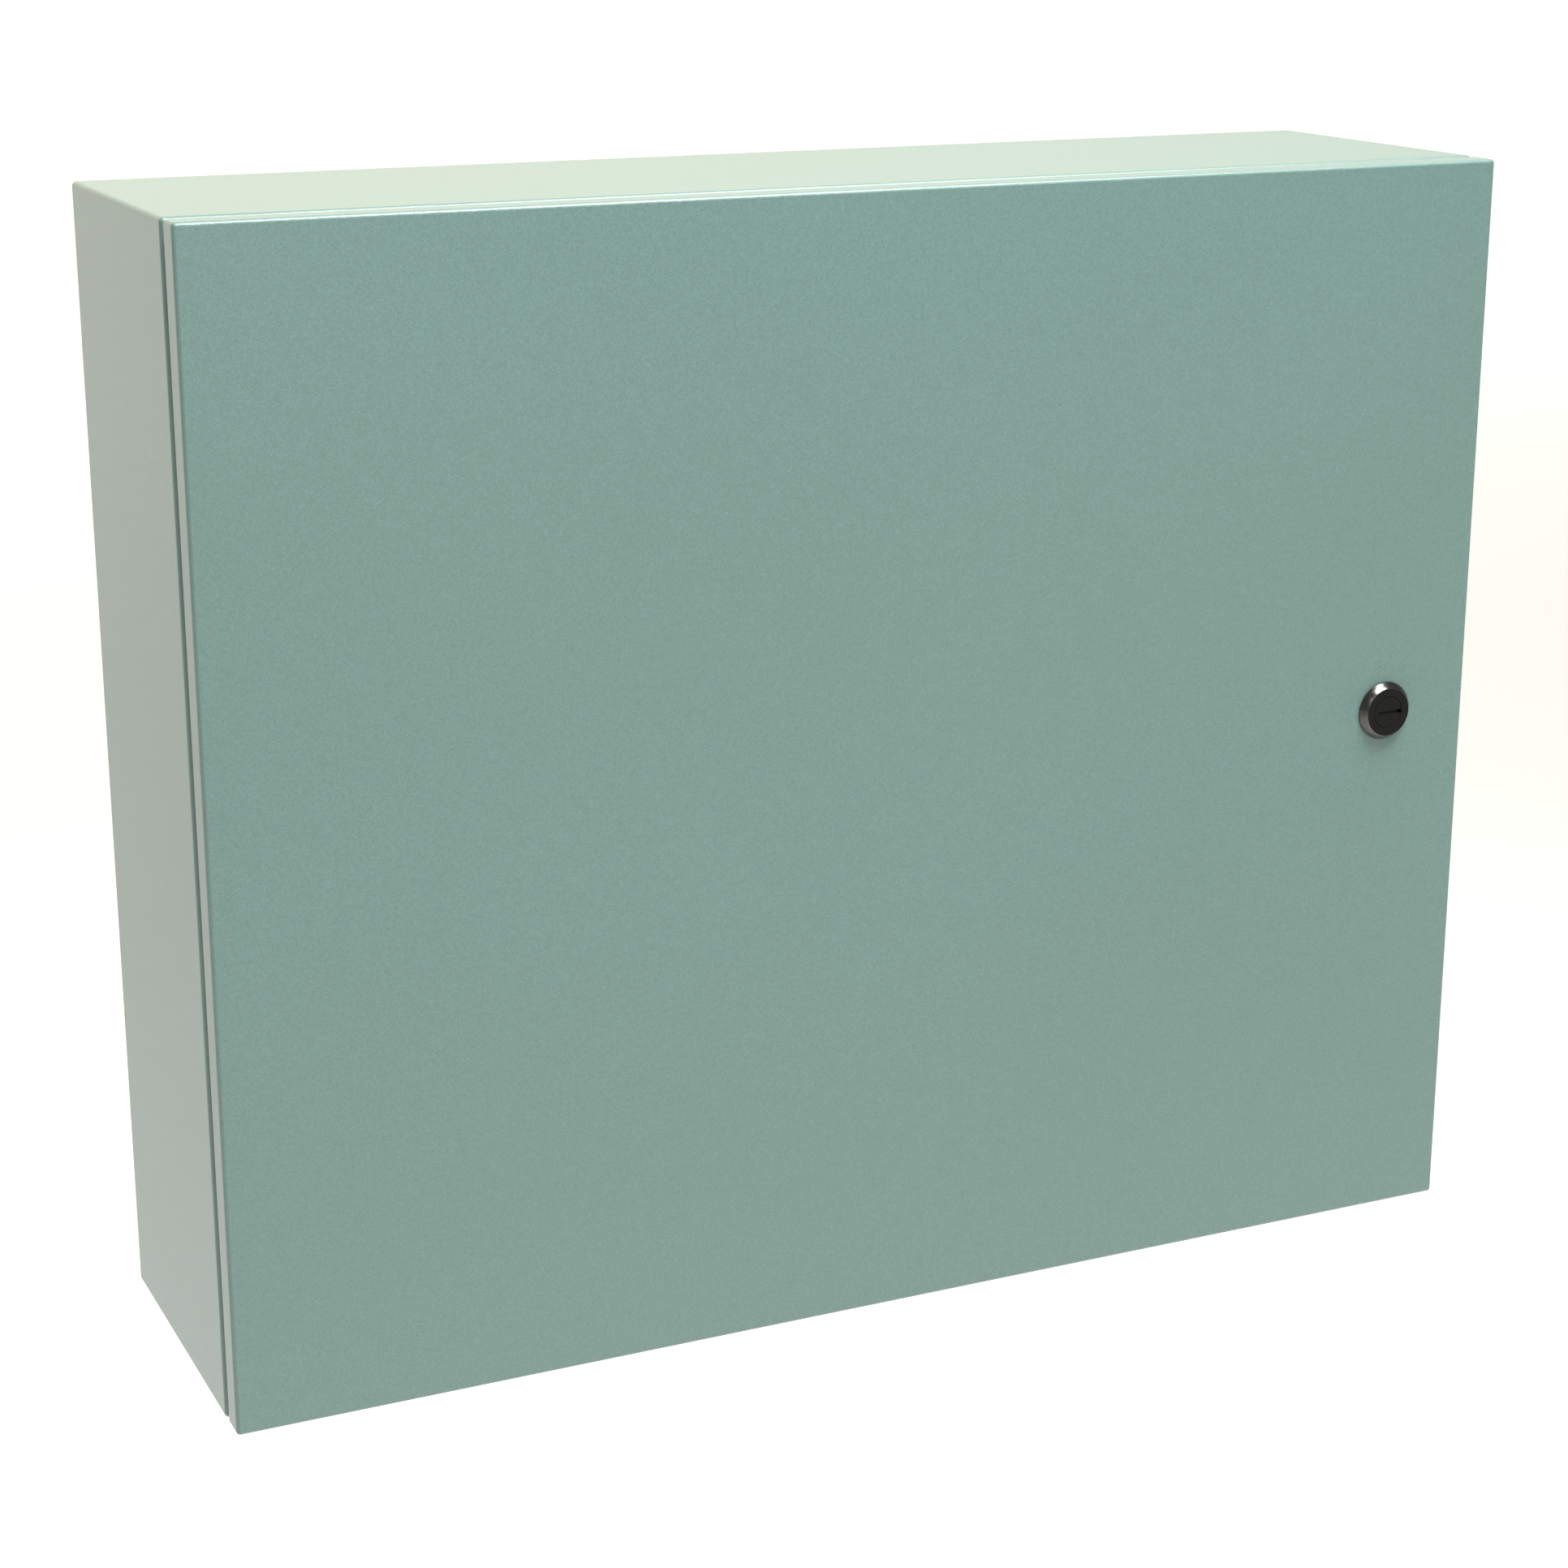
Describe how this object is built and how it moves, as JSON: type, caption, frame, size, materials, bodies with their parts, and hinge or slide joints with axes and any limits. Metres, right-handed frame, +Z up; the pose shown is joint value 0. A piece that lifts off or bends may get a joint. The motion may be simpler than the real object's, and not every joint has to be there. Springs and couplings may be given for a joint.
{
  "type": "electrical enclosure",
  "caption": "Wall-mounted sheet-steel electrical enclosure with a flush hinged door, concealed hinges, quarter-turn latch, mounting panel and bottom gland plate.",
  "frame": {"origin": "centre of the back face, which lies on the wall, and centre of the four wall fixing holes", "axes": "+X to the right seen from the front, +Y into the wall, +Z up; the door faces -Y"},
  "size_m": [0.6, 0.1715, 0.5],
  "materials": {
    "painted_steel": "fine-textured powder coat, sage green",
    "galvanised_steel": "hot-dip galvanised sheet",
    "zinc_plate": "bright zinc plate",
    "bright_steel": "ground stainless steel",
    "foam_rubber": "foamed-in-place polyurethane gasket",
    "dark_chrome": "dark nickel die casting",
    "black_plastic": "matte moulded glass-filled nylon"
  },
  "bodies": {
    "cabinet": {"body_shell": "painted_steel", "mounting_panel": "galvanised_steel", "panel_studs": "zinc_plate", "panel_washers": "zinc_plate", "panel_nuts": "zinc_plate", "gland_plate": "galvanised_steel", "gland_gasket": "foam_rubber", "gland_studs": "zinc_plate", "gland_nuts": "zinc_plate", "body_earth_stud": "zinc_plate", "body_earth_washer": "zinc_plate", "body_earth_nut": "zinc_plate", "upper_hinge_body_leaf": "zinc_plate", "lower_hinge_body_leaf": "zinc_plate", "hinge_screws": "zinc_plate", "hinge_screw_nuts": "zinc_plate"},
    "door": {"door_panel": "painted_steel", "door_gasket": "foam_rubber", "left_door_rail": "galvanised_steel", "right_door_rail": "galvanised_steel", "upper_hinge_door_leaf": "zinc_plate", "lower_hinge_door_leaf": "zinc_plate", "hinge_door_studs": "zinc_plate", "hinge_door_nuts": "zinc_plate", "door_earth_stud": "zinc_plate", "door_earth_washer": "zinc_plate", "door_earth_nut": "zinc_plate", "latch_housing": "dark_chrome", "latch_face_ring": "black_plastic", "latch_seal": "foam_rubber", "latch_nut": "zinc_plate"},
    "latch": {"latch_rotor": "black_plastic", "latch_cam": "zinc_plate", "latch_cam_washer": "zinc_plate", "latch_cam_bolt": "zinc_plate"},
    "upper_pin": {"upper_hinge_pin": "bright_steel"},
    "lower_pin": {"lower_hinge_pin": "bright_steel"}
  },
  "joints": [
    {"name": "door_swing", "type": "hinge", "parent": "cabinet", "child": "door", "pos_m": [-0.2945, -0.16, 0], "axis": [0, 0, -1], "range_deg": [0, 120]},
    {"name": "latch_turn", "type": "hinge", "parent": "door", "child": "latch", "pos_m": [0.2555, -0.16, 0], "axis": [0, 1, 0], "range_deg": [0, 90]},
    {"name": "upper_pin_slide", "type": "slide", "parent": "door", "child": "upper_pin", "axis": [0, 0, 1], "range_m": [0, 0.045]},
    {"name": "lower_pin_slide", "type": "slide", "parent": "door", "child": "lower_pin", "axis": [0, 0, 1], "range_m": [0, 0.045]}
  ]
}
